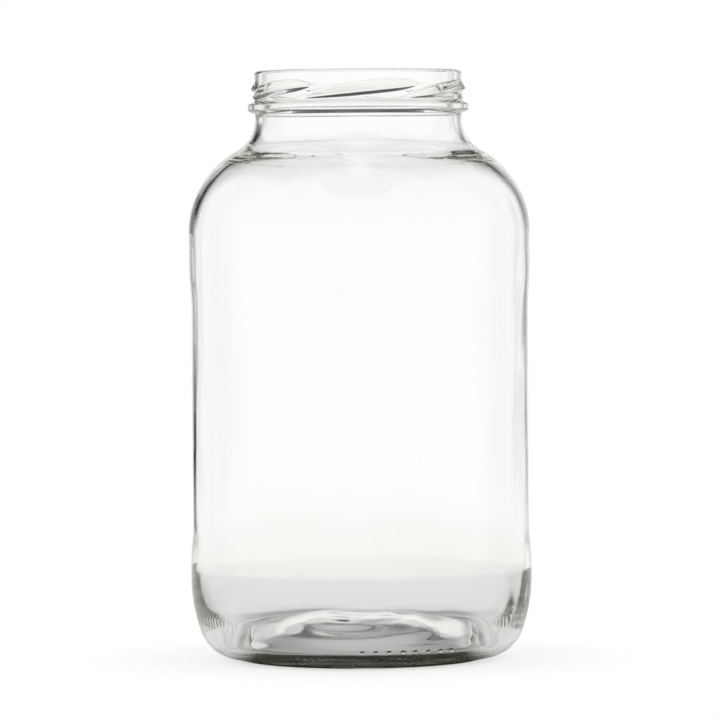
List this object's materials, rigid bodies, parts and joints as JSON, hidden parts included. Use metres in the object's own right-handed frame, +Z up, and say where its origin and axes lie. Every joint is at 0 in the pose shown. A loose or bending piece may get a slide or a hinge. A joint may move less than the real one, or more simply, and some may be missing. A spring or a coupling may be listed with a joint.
{
  "type": "sourdough starter jar",
  "caption": "Empty wide-mouth storage jar of clear glass: tall round body with a recessed label panel, rounded shoulder, short neck with a bead and a lug thread, pushed-up base.",
  "frame": {"origin": "centre of the flat ring that the jar stands on", "axes": "+Z up along the jar's axis to the mouth; -Y towards the viewer of the picture, at the middle of one thread ramp"},
  "size_m": [0.1586, 0.1584, 0.2735],
  "materials": {
    "glass": "clear, glossy, faintly green in the thick edges"
  },
  "bodies": {
    "root": {"glass_jar": "glass"}
  },
  "joints": []
}
